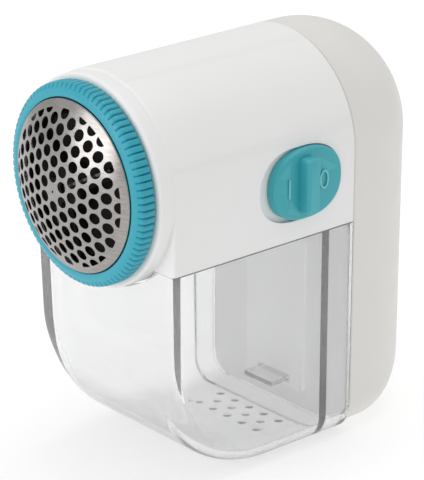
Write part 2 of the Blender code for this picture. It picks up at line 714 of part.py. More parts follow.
def make_cells(mat):
    body = CRADLE_Z[0] + 1.5 + 0.7 + 4.5
    plain = [(CELL_R - 0.5, body), (CELL_R, body + 0.5), (CELL_R, body + CELL_BODY - 0.5),
             (CELL_R - 0.5, body + CELL_BODY), (2.75, body + CELL_BODY),
             (2.75, body + CELL_BODY + CELL_NUB)]
    finish("cell_left", upright(plain, -CELL_X, CELL_Y, 20), mat)
    total = CELL_BODY + CELL_NUB
    foot = CRADLE_Z[0] + 1.5 + 0.7 + GAP
    flipped = [(radius, foot + body + total - z) for radius, z in reversed(plain)]
    finish("cell_right", upright(flipped, CELL_X, CELL_Y, 20), mat)
    return body, foot + total


def make_cradle(mat):
    """C-shaped battery cradle: a back web with a floor and a roof."""
    web = (PARTING_Y + 2.6, PARTING_Y + 4.1)
    deep = CELL_Y + 5.8
    low, high = CRADLE_Z
    outline = [(web[0], low), (deep, low), (deep, low + 1.5), (web[1], low + 1.5),
               (web[1], high - 1.5), (deep - 2, high - 1.5), (deep - 2, high), (web[0], high)]
    return finish("battery_cradle", prism(outline, "X", -CRADLE_HALF_W, CRADLE_HALF_W), mat)


def make_contacts(mat, left_foot, right_top):
    floor = CRADLE_Z[0] + 1.5 + 0.3
    roof = CRADLE_Z[1] - 1.5 - 0.3
    span_y = (CELL_Y - 4.0, CELL_Y + 4.0)
    finish("contact_bridge", box((-12.5, 12.5), span_y, (floor, floor + 0.4)), mat)
    for name, x in (("contact_positive", -CELL_X), ("contact_negative", CELL_X)):
        plate = box((x - 4.5, x + 4.5), span_y, (roof - 0.4, roof))
        finish(name, plate, mat)
    low = [(-CELL_X + a, CELL_Y + b, z)
           for a, b, z in coil(3, (4.2, 2.6), (floor + 0.4 + 0.7, left_foot - 0.7))]
    tube("bridge_spring", low, 0.35, mat)
    high = [(CELL_X + a, CELL_Y + b, z)
            for a, b, z in coil(3, (2.6, 4.2), (right_top + 0.7, roof - 0.4 - 0.7))]
    tube("negative_spring", high, 0.35, mat)


def make_screws(mat):
    first = PARTING_Y + GAP / 2
    head = first + 5.5 + GAP
    for side in (-1, 1):
        name = "screw_left" if side < 0 else "screw_right"
        x = side * SCREW_X
        profile = [(1.05, first - 10), (1.05, head), (2.2, head), (2.2, head + 1.1), (1.6, head + 1.7)]
        finish(name, turned(profile, 14, x, SCREW_Z, closed=False), mat, (x, head, SCREW_Z))


def make_wires(red, black, yellow):
    """Leads soldered between the contacts, the switch and the motor tabs."""
    roof = CRADLE_Z[1]
    rear_web = PARTING_Y + 1.5
    tab_y = CAN_Y[1] + GAP + CAP_T + 3.2
    switch_y = SWITCH_Y - SWITCH_TRAVEL / 2
    radius = 0.6
    wire_curve("wire_battery_to_switch", [
        (-CELL_X, CELL_Y - 2, roof + 1.0), (-CELL_X, rear_web + 5, roof + 1.6), (-4, rear_web, roof + 7),
        (6, PARTING_Y - 4, roof + 13), (13.5, PARTING_Y - 8, roof + 8),
        (13.2, switch_y + 3, SWITCH_Z + 1.5)],
        radius, red)
    wire_curve("wire_switch_to_motor", [
        (13.2, switch_y - 2, SWITCH_Z - 2.2), (13.2, switch_y + 6, SWITCH_Z - 4),
        (12.6, tab_y - 1.0, SWITCH_Z - 3), (9.4, tab_y + 1.6, HEAD_Z - 1), (6.0, tab_y + 1.2, HEAD_Z)],
        radius, yellow)
    wire_curve("wire_battery_to_motor", [
        (CELL_X, CELL_Y - 2, roof + 1.0), (CELL_X - 1, rear_web + 4, roof + 1.8),
        (2, rear_web + 1, roof + 4), (-3.5, tab_y + 2.6, HEAD_Z + 3), (-5.6, tab_y + 1.2, HEAD_Z)],
        radius, black)


# ---------------------------------------------------------------- assembly

def main():
    clear_scene()
    white = material("white_plastic", (0.80, 0.80, 0.79), 0.35)
    grey = material("rear_plastic", (0.72, 0.71, 0.68), 0.42)
    clear = material("clear_plastic", (0.95, 0.95, 0.95), 0.05, transmission=0.9)
    teal = material("teal_plastic", (0.05, 0.42, 0.50), 0.35)
    steel = material("steel", (0.62, 0.61, 0.60), 0.28, 1.0)
    black = material("black_plastic", (0.03, 0.03, 0.03), 0.5)
    inner = material("inner_plastic", (0.62, 0.62, 0.62), 0.5)
    magnet = material("ferrite", (0.08, 0.08, 0.09), 0.7)
    copper = material("copper", (0.65, 0.32, 0.18), 0.4, 1.0)
    brass = material("brass", (0.75, 0.60, 0.30), 0.35, 1.0)
    cell = material("cell_sleeve", (0.10, 0.12, 0.16), 0.35)
    red = material("red_insulation", (0.6, 0.04, 0.03), 0.5)
    yellow = material("yellow_insulation", (0.75, 0.6, 0.08), 0.5)
    axis = (0.0, FRONT_Y, HEAD_Z)

    make_front_housing(white)
    make_rear_housing(grey)
    make_battery_door(grey)
    make_dust_container(clear)
    make_foil(steel)
    make_guard_ring(teal)
    make_blade_carrier(black, axis)
    make_blades(steel, axis)
    make_drive_hub(teal, axis)
    make_rotor_spring(steel)
    make_motor(steel, black, brass, magnet, copper, axis)
    make_motor_mount(black)
    make_switch(teal, steel, black)
    left_foot, right_top = make_cells(cell)
    make_cradle(inner)
    make_contacts(steel, left_foot, right_top)
    make_screws(steel)
    make_wires(red, black, yellow)


main()
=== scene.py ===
"""Battery fabric shaver: the visible pieces, their finishes, the light and the camera.

Lengths are millimetres in the object's own frame unless a name says otherwise:
+Z up, the shaving head faces -Y, the slide switch is on +X, z = 0 under the
lint container.  Every mesh is written in metres.
"""
import math

import bmesh
import bpy
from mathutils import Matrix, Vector
from mathutils.geometry import delaunay_2d_cdt

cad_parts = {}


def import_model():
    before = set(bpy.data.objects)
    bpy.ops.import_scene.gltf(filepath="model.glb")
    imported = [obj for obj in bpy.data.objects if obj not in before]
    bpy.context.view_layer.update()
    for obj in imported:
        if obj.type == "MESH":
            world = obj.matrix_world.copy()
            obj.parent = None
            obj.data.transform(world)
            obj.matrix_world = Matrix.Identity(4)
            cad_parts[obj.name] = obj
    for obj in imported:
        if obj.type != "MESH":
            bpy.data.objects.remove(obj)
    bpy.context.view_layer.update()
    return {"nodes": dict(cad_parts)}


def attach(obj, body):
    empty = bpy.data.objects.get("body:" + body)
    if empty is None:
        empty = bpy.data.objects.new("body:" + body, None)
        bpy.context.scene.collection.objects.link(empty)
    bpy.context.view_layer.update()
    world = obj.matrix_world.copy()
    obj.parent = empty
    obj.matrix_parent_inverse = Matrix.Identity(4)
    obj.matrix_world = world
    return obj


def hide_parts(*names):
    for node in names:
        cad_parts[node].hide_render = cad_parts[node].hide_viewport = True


MM = 0.001

# body
FRONT_Y = -40.0                 # where distances towards the back are counted from
FACE_Y = FRONT_Y + 0.45         # front face of the housing
HALF_W = 24.0
TAPER = 0.45                    # how far each side has moved in at the front face
SEAM_PULL = 0.0125              # share of the width lost at the seam, at the front face
TOP_LIFT = 0.2                  # rise of the barrel's top at the front face
HEAD_Z = 68.4                   # height of the head axis
SEAM_Z = 52.05                  # seam between the housing and the container
PARTING_Y = FRONT_Y + 52.4      # seam between the front and rear housings
REAR_Y = FRONT_Y + 79.8
FRONT_EDGE_R = 0.8
REAR_R = 21.0                   # rounding of the rear housing
REAR_FOOT_R = 9.0
WALL = 2.0
GAP = 0.3
SLIT = 0.07                     # width of the visible parting lines
POST_R = 3.2
PILOT_R = 1.4

# lint container and the face it closes against
NOSE_R = 27.0                   # height of the swept front's curve
NOSE_REACH = 29.0               # depth of the same curve
CORNER_R = 7.0
SIDE_WALL = 2.3
FRONT_WALL = 2.8
INNER_CORNER_R = 4.6
DRAFT = 0.018                   # inward lean for each millimetre below the seam
BACK_WALL_Y = FRONT_Y + 45.9
LATCH_HALF_W = 4.6
LATCH_Z = (7.9, 9.0)
BOSS_Y = PARTING_Y - 0.4
PANEL_Y = BOSS_Y - 1.0
PANEL_HALF_W = 9.4
PANEL_Z = (6.4, 44.0)
BUMP_R = 1.15
BUMP_RISE = 0.24
BUMP_PITCH = 5.0
BUMP_ROWS = ((35.4, 5), (38.9, 4), (42.3, 5))   # distance behind FRONT_Y, bumps in the row
LONE_BUMP = (-12.4, 33.9)

# head
COLLAR_R = 23.4
COLLAR_Y = FRONT_Y - 3.0
SPIGOT_R = 20.5
SPIGOT_Y = FRONT_Y - 5.4
FLANGE_Y = SPIGOT_Y - 0.95       # front of the foil's flange
BORE_R = 18.8
SEAT_R = 20.2
CHAMBER_DEPTH = 20.0            # from FRONT_Y to the wall in front of the motor
CHUTE = (5.5, 18.5)             # front and rear edges, behind FRONT_Y
CHUTE_HALF_W = 15.5
RING_R = 22.3
RING_EDGE_Y = FRONT_Y - 6.83
RING_LIP_Y = FRONT_Y - 7.5
KNURLS = 90
KNURL_DEPTH = 0.62
KNURL_FLANK = 1.6               # steepness of a groove's sides; above 1 the crest is flat
FOIL_R = 19.1
FOIL_RIM_Y = FRONT_Y - 7.65
FOIL_RISE = 5.2
FOIL_SPHERE_R = (FOIL_R ** 2 + FOIL_RISE ** 2) / (2 * FOIL_RISE)
FOIL_T = 0.2
ROLL_R = 0.3                    # rolled edge of the foil
FLAT_R = FOIL_R - ROLL_R        # where the dome turns into the roll
RIM_COUNT = 120
HOLE_PITCH = 3.3
HOLE_R = 1.25
HOLE_FIELD_R = 17.3
FIELD_RIM_R = 17.55             # plain ring around the holes
CENTRE_HOLE_R = 0.28

# slide switch
SWITCH_Y = FRONT_Y + 37.25
SWITCH_Z = 65.0
SWITCH_TRAVEL = 2.6
BUTTON_HALF = (10.15, 8.0)
BUTTON_POWER = 2.3
POCKET_X = 22.65
BUTTON_X = (22.95, 25.05)
RIB_X = 27.85
RIB_Y = SWITCH_Y - 0.75

# back
CELL_Y = FRONT_Y + 64.2
DOOR_HALF_W = 16.6
DOOR_Z = (10.0, 70.0)
SCREW_X = 18.6
SCREW_Z = 57.0

# floor and camera
FLOOR_GLOW = 0.63               # keeps the floor near white around the object
CAMERA_PLACE = (0.356438, -0.324256, 0.231545)      # metres
CAMERA_TURN = (48.385, 21.143)                      # azimuth from -Y and elevation, degrees
LENS_MM = 170.946
LENS_SHIFT = (-0.00525, -0.01069)


# ---------------------------------------------------------------- mesh tools

def new_object(name, mesh):
    obj = bpy.data.objects.new(name, mesh)
    bpy.context.scene.collection.objects.link(obj)
    return obj


def finish(name, bm, mat=None, sharp=35.0):
    """Turn a millimetre bmesh into a smooth-shaded metre object."""
    bmesh.ops.remove_doubles(bm, verts=bm.verts, dist=1e-4)
    bmesh.ops.recalc_face_normals(bm, faces=bm.faces)
    for vert in bm.verts:
        vert.co *= MM
    mesh = bpy.data.meshes.new(name)
    bm.to_mesh(mesh)
    bm.free()
    shade(mesh, sharp)
    if mat:
        mesh.materials.append(mat)
    return new_object(name, mesh)


def shade(mesh, sharp):
    mesh.shade_smooth()
    mesh.set_sharp_from_angle(angle=math.radians(sharp))


def combine(obj, parts, operation="DIFFERENCE", sharp=35.0):
    """Cut or join millimetre bmeshes with an object, and keep the result as its mesh."""
    helpers = []
    for number, bm in enumerate(parts):
        helper = finish("%s_tool_%d" % (obj.name, number), bm)
        helpers.append(helper)
        mod = obj.modifiers.new("step_%d" % number, "BOOLEAN")
        mod.operation = operation
        mod.object = helper
        mod.solver = "EXACT"
    bake(obj)
    for helper in helpers:
        bpy.data.meshes.remove(helper.data)
    shade(obj.data, sharp)
    return obj


def bake(obj):
    """Replace the mesh by its evaluated form and drop the modifiers."""
    graph = bpy.context.evaluated_depsgraph_get()
    graph.update()
    mesh = bpy.data.meshes.new_from_object(obj.evaluated_get(graph))
    obj.modifiers.clear()
    obj.data = mesh
    return obj


def soften(obj, width, segments=2, angle=40.0):
    """Round the crisp edges of a finished piece."""
    mod = obj.modifiers.new("edges", "BEVEL")
    mod.width = width * MM
    mod.segments = segments
    mod.limit_method = "ANGLE"
    mod.angle_limit = math.radians(angle)
    mod.harden_normals = False
    mod.miter_outer = "MITER_ARC"
    return obj


def add_loft(bm, rings, closed=False):
    rows = [[bm.verts.new(point) for point in ring] for ring in rings]
    count = len(rows[0])
    pairs = list(zip(rows, rows[1:]))
    if closed:
        pairs.append((rows[-1], rows[0]))
    for low, high in pairs:
        for i in range(count):
            j = (i + 1) % count
            bm.faces.new((low[i], low[j], high[j], high[i]))
    if not closed:
        bm.faces.new(rows[0])
        bm.faces.new(rows[-1])
    return bm


def loft(rings, closed=False):
    return add_loft(bmesh.new(), rings, closed)


def circle(radius, y, x=0.0, z=HEAD_Z, count=96):
    steps = (2 * math.pi * i / count for i in range(count))
    return [(x + radius * math.cos(a), y, z + radius * math.sin(a)) for a in steps]


def rod(radius, y_low, y_high, x=0.0, z=HEAD_Z, count=32):
    return loft([circle(radius, y_low, x, z, count), circle(radius, y_high, x, z, count)])


def turned(profile, count=96, closed=True):
    """Turn (radius, y) points about the head axis."""
    return loft([circle(r, y, count=count) for r, y in profile], closed)


def prism(points, axis, low, high):
    def place(point, value):
        coords = list(point)
        coords.insert("XYZ".index(axis), value)
        return coords
    return loft([[place(p, low) for p in points], [place(p, high) for p in points]])


def box(x, y, z):
    outline = [(x[0], y[0]), (x[1], y[0]), (x[1], y[1]), (x[0], y[1])]
    return prism(outline, "Z", z[0], z[1])


def arc(center, radius, start, end, count):
    angles = (math.radians(start + (end - start) * i / count) for i in range(count + 1))
    return [(center[0] + radius * math.cos(a), center[1] + radius * math.sin(a)) for a in angles]


def rounded_rect(x, z, radius, count=6):
    """Outline of a rectangle with rounded corners."""
    points = arc((x[1] - radius, z[0] + radius), radius, -90, 0, count)
    points += arc((x[1] - radius, z[1] - radius), radius, 0, 90, count)
    points += arc((x[0] + radius, z[1] - radius), radius, 90, 180, count)
    points += arc((x[0] + radius, z[0] + radius), radius, 180, 270, count)
    return points


# ---------------------------------------------------------------- body shapes

def barrel_ring(y, half_w, z_low, corner, arc_steps=96, corner_steps=10):
    """Front-view outline: round top about the head axis, upright sides, lower corners."""
    cx = half_w - corner
    points = arc((cx, z_low + corner), corner, -90, 0, corner_steps)
    points += arc((0.0, HEAD_Z), half_w, 0, 180, arc_steps)
    points += arc((-cx, z_low + corner), corner, 180, 270, corner_steps)
    return [drawn_in(x, y, z) for x, z in points]


def drawn_in(x, y, z):
    """Pull a point of the front outline in towards the seam, and lift the front of the top."""
    if z < HEAD_Z:
        x *= 1.0 - SEAM_PULL * fade(y) * (HEAD_Z - z) / (HEAD_Z - SEAM_Z)
    else:
        z += TOP_LIFT * fade(y) * (z - HEAD_Z) / HALF_W
    return (x, y, z)


def fade(y):
    """0 from the parting line back, growing to 1 at the front face."""
    return max(PARTING_Y - y, 0.0) / (PARTING_Y - FACE_Y)


def body_half(y):
    """Half width of the body; the front part narrows a little towards the head."""
    return HALF_W - TAPER * fade(y)


def seam_half(y):
    """Half width at the container's seam, where the sides are drawn in further."""
    return body_half(y) * (1.0 - SEAM_PULL * fade(y))


def edge_stations(radius, steps=8):
    """Distances behind the front face that follow its rounded edge."""
    return [radius - radius * math.cos(math.radians(90.0 * i / steps)) for i in range(steps + 1)]


def edge_inset(distance, radius):
    """How far the rounded front edge pulls the outline in at this distance."""
    if distance >= radius:
        return 0.0
    return radius - math.sqrt(max(radius ** 2 - (radius - distance) ** 2, 0.0))


def nose_floor(distance):
    """Height of the container's underside at this distance behind its front face."""
    if distance >= NOSE_REACH:
        return 0.0
    part = (NOSE_REACH - distance) / NOSE_REACH
    return NOSE_R * (1.0 - math.sqrt(max(1.0 - part ** 2, 0.0)))


def cavity_floor(distance):
    """Height of the container's inner floor; the front wall is thicker than the floor."""
    if distance >= NOSE_REACH:
        return WALL
    part = (NOSE_REACH - distance) / (NOSE_REACH - FRONT_WALL)
    return NOSE_R - (NOSE_R - WALL) * math.sqrt(max(1.0 - part ** 2, 0.0))


def tub_ring(y, half_w, z_low, corner, top, corner_steps=12):
    """Outline of the container at one station, drawn in with the mould's draft."""
    cx = half_w - corner
    points = arc((cx, z_low + corner), corner, -90, 0, corner_steps)
    points += [(half_w, top), (-half_w, top)]
    points += arc((-cx, z_low + corner), corner, 180, 270, corner_steps)
    ring = []
    for x, z in points:
        draw = DRAFT * (SEAM_Z - z) * fade(y)
        ring.append((x * (1.0 - draw / HALF_W), y + draw, z))
    return ring


def outer_ring(distance, top):
    y = FACE_Y + distance
    half_w = seam_half(y) - edge_inset(distance, FRONT_EDGE_R)
    return tub_ring(y, half_w, nose_floor(distance), CORNER_R, top)


def cavity_ring(distance, top):
    y = FACE_Y + distance
    return tub_ring(y, seam_half(y) - SIDE_WALL, cavity_floor(distance), INNER_CORNER_R, top)


def spaced(values, least=0.04):
    """Sorted values with near-duplicates dropped."""
    kept = []
    for value in sorted(values):
        if not kept or value - kept[-1] > least:
            kept.append(value)
    return kept


def nose_stations(reach):
    return [NOSE_REACH - reach * math.cos(math.radians(a)) for a in range(0, 91, 3)]


def rear_ring(y, wall):
    """Outline of the rear housing; it shrinks towards the back on a round edge."""
    reach = max(y - (REAR_Y - REAR_R), 0.0)
    inner = REAR_R - wall
    drop = inner - math.sqrt(max(inner ** 2 - reach ** 2, 0.0))
    half_w = HALF_W - wall - drop
    z_low = wall + drop
    corner = min(REAR_FOOT_R - wall, half_w - 0.3)
    return barrel_ring(y, half_w, z_low, corner)


def rear_stations(first, wall, steps=24):
    start = REAR_Y - REAR_R
    inner = REAR_R - wall
    return [first] + [start + inner * math.sin(math.radians(90.0 * i / steps))
                      for i in range(steps + 1)]


def button_outline(grow=0.0, travel=0.0, steps=40):
    """The button's oval outline in (y, z), its front half moved forward by a travel."""
    points = []
    for shift, start in ((0.0, -90), (-travel, 90)):
        for i in range(steps + 1):
            angle = math.radians(start + 180 * i / steps)
            across, up = math.cos(angle), math.sin(angle)
            y = (BUTTON_HALF[0] + grow) * math.copysign(abs(across) ** (2 / BUTTON_POWER), across)
            z = (BUTTON_HALF[1] + grow) * math.copysign(abs(up) ** (2 / BUTTON_POWER), up)
            points.append((SWITCH_Y + shift + y, SWITCH_Z + z))
    if travel == 0.0:
        del points[steps], points[-1]
    return points


# ---------------------------------------------------------------- finishes

def new_material(name):
    mat = bpy.data.materials.new(name)
    mat.use_nodes = True
    nodes = mat.node_tree.nodes
    shader = nodes["Principled BSDF"]
    return mat, nodes, mat.node_tree.links, shader


def noise(nodes, links, scale, detail=3.0, roughness=0.5, stretch=None):
    """A noise texture in object space, in cycles per metre."""
    coord = nodes.new("ShaderNodeTexCoord")
    tex = nodes.new("ShaderNodeTexNoise")
    tex.inputs["Scale"].default_value = scale
    tex.inputs["Detail"].default_value = detail
    tex.inputs["Roughness"].default_value = roughness
    if stretch:
        mapping = nodes.new("ShaderNodeMapping")
        mapping.inputs["Scale"].default_value = stretch
        links.new(coord.outputs["Object"], mapping.inputs["Vector"])
        links.new(mapping.outputs["Vector"], tex.inputs["Vector"])
    else:
        links.new(coord.outputs["Object"], tex.inputs["Vector"])
    return tex.outputs["Fac"]


def spread(nodes, links, value, low, high, source=(0.3, 0.7)):
    """Map a 0..1 value to a range."""
    node = nodes.new("ShaderNodeMapRange")
    node.inputs["From Min"].default_value = source[0]
    node.inputs["From Max"].default_value = source[1]
    node.inputs["To Min"].default_value = low
    node.inputs["To Max"].default_value = high
    links.new(value, node.inputs["Value"])
    return node.outputs["Result"]


def blend_colour(nodes, links, factor, first, second):
    node = nodes.new("ShaderNodeMix")
    node.data_type = "RGBA"
    for socket, colour in ((node.inputs[6], first), (node.inputs[7], second)):
        if isinstance(colour, tuple):
            socket.default_value = (*colour, 1.0)
        else:
            links.new(colour, socket)
    links.new(factor, node.inputs[0])
    return node.outputs[2]


def bump(nodes, links, height, strength, distance_mm, chain=None):
    node = nodes.new("ShaderNodeBump")
    node.inputs["Strength"].default_value = strength
    node.inputs["Distance"].default_value = distance_mm * MM
    links.new(height, node.inputs["Height"])
    if chain:
        links.new(chain, node.inputs["Normal"])
    return node.outputs["Normal"]


def edge_mask(nodes, links, low=0.52, high=0.58):
    """1 on worn convex edges."""
    geometry = nodes.new("ShaderNodeNewGeometry")
    return spread(nodes, links, geometry.outputs["Pointiness"], 0.0, 1.0, (low, high))


def plastic(name, colour, worn, roughness=(0.30, 0.40), grain=0.01, specular=0.5, glow=0.0):
    """Moulded plastic: faint tone drift, fine grain, slightly rubbed edges.

    glow is a little light of its own: pale parts behind the clear
    container come out too dark without it.
    """
    mat, nodes, links, shader = new_material(name)
    drift = noise(nodes, links, 60.0, 3.0)
    tint = blend_colour(nodes, links, spread(nodes, links, drift, 0.0, 0.35), colour, worn)
    rubbed = spread(nodes, links, edge_mask(nodes, links), 0.0, 0.5, (0, 1))
    tint = blend_colour(nodes, links, rubbed, tint, worn)
    links.new(tint, shader.inputs["Base Color"])
    links.new(spread(nodes, links, noise(nodes, links, 240.0, 4.0), *roughness),
              shader.inputs["Roughness"])
    fine = bump(nodes, links, noise(nodes, links, 2600.0, 2.0), 0.25, grain)
    wave = bump(nodes, links, noise(nodes, links, 45.0, 1.0), 0.12, 0.12, fine)
    links.new(wave, shader.inputs["Normal"])
    shader.inputs["Specular IOR Level"].default_value = specular
    shader.inputs["Emission Color"].default_value = (1.0, 1.0, 1.0, 1.0)
    shader.inputs["Emission Strength"].default_value = glow
    return mat


def metal(name, colour, dark, roughness=(0.22, 0.38), stretch=(1.0, 1.0, 1.0), scale=500.0,
          scratch=0.02):
    """Sheet or ground metal with a directional grain."""
    mat, nodes, links, shader = new_material(name)
    grain = noise(nodes, links, scale, 5.0, 0.6, stretch)
    links.new(blend_colour(nodes, links, spread(nodes, links, grain, 0.0, 1.0), colour, dark),
              shader.inputs["Base Color"])
    links.new(spread(nodes, links, noise(nodes, links, 130.0), *roughness),
              shader.inputs["Roughness"])
    links.new(bump(nodes, links, grain, 0.3, scratch), shader.inputs["Normal"])
    shader.inputs["Metallic"].default_value = 1.0
    return mat


def clear_plastic():
    """Clear moulding: faint flow ripples, scuffs, and painted grey shade where the wall is seen
    edge-on.

    Alpha is set to let a little more through than the transmission does.
    """
    mat, nodes, links, shader = new_material("clear_plastic")
    scuff = noise(nodes, links, 380.0, 6.0, 0.65)
    links.new(spread(nodes, links, scuff, 0.015, 0.075, (0.45, 0.72)), shader.inputs["Roughness"])
    flow = noise(nodes, links, 55.0, 2.0, 0.5, (1.0, 1.0, 0.45))
    links.new(bump(nodes, links, flow, 0.10, 0.25), shader.inputs["Normal"])
    tone = noise(nodes, links, 35.0, 2.0)
    body = blend_colour(nodes, links, tone, (0.993, 0.995, 0.995), (0.978, 0.981, 0.981))
    # painted shade: the base colour turns grey where the wall is seen edge-on
    rim = nodes.new("ShaderNodeLayerWeight")
    rim.inputs["Blend"].default_value = 0.5
    edge_on_shade = spread(nodes, links, rim.outputs["Facing"], 0.0, 1.0, (0.60, 0.92))
    links.new(blend_colour(nodes, links, edge_on_shade, body, (0.38, 0.385, 0.385)),
              shader.inputs["Base Color"])
    links.new(spread(nodes, links, tone, 0.965, 0.94), shader.inputs["Transmission Weight"])
    shader.inputs["IOR"].default_value = 1.49
    shader.inputs["Alpha"].default_value = 0.965
    return mat


def make_materials():
    return {
        "white": plastic("white_plastic", (0.83, 0.83, 0.825), (0.78, 0.78, 0.77), (0.30, 0.42)),
        "rear": plastic("rear_plastic", (0.73, 0.72, 0.69), (0.68, 0.67, 0.64), (0.34, 0.46)),
        # The next two finishes are lighter, glowing copies of the rear plastic: painted light on the
        # boss and panel seen through the clear container.
        "panel_glow": plastic("panel_glow_plastic", (0.90, 0.90, 0.90), (0.87, 0.87, 0.87), (0.35, 0.45),
                          glow=0.27),
        "boss": plastic("boss_plastic", (0.87, 0.87, 0.87), (0.84, 0.84, 0.84), (0.35, 0.45),
                        glow=0.20),
        "ring": plastic("ring_plastic", (0.026, 0.335, 0.435), (0.05, 0.39, 0.485), (0.34, 0.46),
                        specular=0.38),
        "teal": plastic("button_plastic", (0.036, 0.355, 0.41), (0.08, 0.44, 0.50), (0.30, 0.42),
                        specular=0.4),
        "mark": plastic("mark_plastic", (0.13, 0.50, 0.56), (0.17, 0.54, 0.60), (0.30, 0.42)),
        "inner": plastic("inner_plastic", (0.60, 0.60, 0.60), (0.52, 0.52, 0.52), (0.45, 0.6)),
        "black": plastic("black_plastic", (0.010, 0.010, 0.010), (0.02, 0.02, 0.02), (0.6, 0.75),
                         specular=0.15),
        "clear": clear_plastic(),
        "foil": metal("foil_steel", (0.40, 0.382, 0.370), (0.30, 0.285, 0.275), (0.22, 0.34),
                      (1.0, 1.0, 5.0), 420.0, 0.01),
        # painted shade: a darker copy of the foil steel for the hole walls
        "hole_shade": metal("hole_wall_shade_steel", (0.16, 0.155, 0.15), (0.10, 0.10, 0.10), (0.35, 0.5)),
        # painted shade: the blade steel is far darker than real steel, standing in for the dark head
        # the blades are seen in through the holes
        "blade": metal("blade_steel", (0.11, 0.11, 0.11), (0.07, 0.07, 0.07), (0.4, 0.55),
                       (1.0, 6.0, 1.0), 600.0),
        "can": metal("motor_steel", (0.60, 0.60, 0.58), (0.48, 0.48, 0.46), (0.25, 0.42)),
        "screw": metal("screw_steel", (0.56, 0.56, 0.55), (0.40, 0.40, 0.40), (0.25, 0.45)),
        "spring": metal("spring_steel", (0.66, 0.65, 0.63), (0.50, 0.49, 0.47), (0.2, 0.35)),
        "brass": metal("brass_sheet", (0.78, 0.62, 0.30), (0.60, 0.46, 0.22), (0.25, 0.4)),
        "copper": metal("copper_winding", (0.66, 0.32, 0.17), (0.42, 0.19, 0.10), (0.3, 0.5),
                        (8.0, 1.0, 8.0), 400.0, 0.15),
        "ferrite": plastic("ferrite", (0.06, 0.06, 0.065), (0.11, 0.11, 0.11), (0.6, 0.8), 0.05),
        "cell": plastic("cell_sleeve", (0.05, 0.07, 0.11), (0.10, 0.12, 0.15), (0.25, 0.35)),
        "red": plastic("red_insulation", (0.50, 0.03, 0.02), (0.42, 0.03, 0.02), (0.4, 0.55)),
        "yellow": plastic("yellow_insulation", (0.70, 0.52, 0.05), (0.62, 0.46, 0.05), (0.4, 0.55)),
        "dark": plastic("black_insulation", (0.02, 0.02, 0.02), (0.04, 0.04, 0.04), (0.4, 0.55)),
    }


# ---------------------------------------------------------------- housings

def paint(obj, mat, wanted):
    """Give a second finish to the faces whose centre (in millimetres) passes a test."""
    obj.data.materials.append(mat)
    slot = len(obj.data.materials) - 1
    for face in obj.data.polygons:
        if wanted(face.center / MM):
            face.material_index = slot


def in_shaded_chamber(p):
    """Inside the head bore or the lint chamber in front of the motor wall, whose faces get black as
    painted shade.
    """
    radius = math.hypot(p.x, p.z - HEAD_Z)
    if p.y < FACE_Y + WALL + 0.1:
        return radius < BORE_R + 1.6 and p.y > SPIGOT_Y + 0.1
    if p.z < SEAM_Z + 1.8:
        in_length = CHUTE[0] - 0.1 < p.y - FRONT_Y < CHUTE[1] + 0.1
        return in_length and p.z > SEAM_Z + 0.1 and abs(p.x) < CHUTE_HALF_W + 0.1
    if p.y >= FRONT_Y + CHAMBER_DEPTH - 0.2:
        return False
    return abs(p.x) < HALF_W - 1.5 and p.z < HEAD_Z + HALF_W - 1.5


def make_front_housing(mat, dark):
    rear = PARTING_Y - SLIT / 2
    rings = []
    for distance in edge_stations(FRONT_EDGE_R):
        half_w = body_half(FACE_Y + distance) - edge_inset(distance, FRONT_EDGE_R)
        rings.append(barrel_ring(FACE_Y + distance, half_w, SEAM_Z, 0.5))
    rings += [barrel_ring(rear - 0.25, HALF_W, SEAM_Z, 0.5),
              barrel_ring(rear, HALF_W - 0.2, SEAM_Z + 0.2, 0.4)]
    shell = finish("shell_front", loft(rings), mat)
    inner = [barrel_ring(y, body_half(y) - WALL, SEAM_Z + WALL, 0.6)
             for y in (FACE_Y + WALL, FRONT_Y + CHAMBER_DEPTH, rear, rear + 5)]
    chute = rounded_rect((-CHUTE_HALF_W, CHUTE_HALF_W), (FRONT_Y + CHUTE[0], FRONT_Y + CHUTE[1]),
                         1.5)
    combine(shell, [loft(inner), rod(21.2, FRONT_Y - 5, FRONT_Y + 3.2, count=120),
                    prism(chute, "Z", SEAM_Z - 3, SEAM_Z + 5)])
    collar = [(BORE_R, SPIGOT_Y), (SPIGOT_R - 0.2, SPIGOT_Y)]
    collar += [(SPIGOT_R, SPIGOT_Y + 0.2), (SPIGOT_R, COLLAR_Y)]
    collar += [(r, y) for y, r in arc((COLLAR_Y + 0.8, COLLAR_R - 0.8), 0.8, 180, 90, 5)]
    collar += [(COLLAR_R, FRONT_Y + 3.6), (SEAT_R, FRONT_Y + 3.6)]
    collar += [(SEAT_R, FRONT_Y - 1.2), (BORE_R, FRONT_Y - 1.2)]
    posts = [rod(POST_R, rear - 13, rear - 0.1, side * SCREW_X, SCREW_Z) for side in (-1, 1)]
    combine(shell, [turned(collar, 118)] + posts, "UNION")
    pilots = [rod(PILOT_R, rear - 11, rear + 3, side * SCREW_X, SCREW_Z) for side in (-1, 1)]
    slot_y = (SWITCH_Y - SWITCH_TRAVEL - 2.8, SWITCH_Y + 2.8)
    slot = box((POCKET_X - 4, POCKET_X + 4), slot_y, (SWITCH_Z - 2.8, SWITCH_Z + 2.8))
    pocket = prism(button_outline(GAP, SWITCH_TRAVEL), "X", POCKET_X, HALF_W + 6)
    combine(shell, pilots + [pocket, slot])
    # painted shade: the bore, chamber and chute walls are the housing's white plastic, painted black
    # to stand in for the darkness inside the head
    paint(shell, dark, in_shaded_chamber)
    return shell


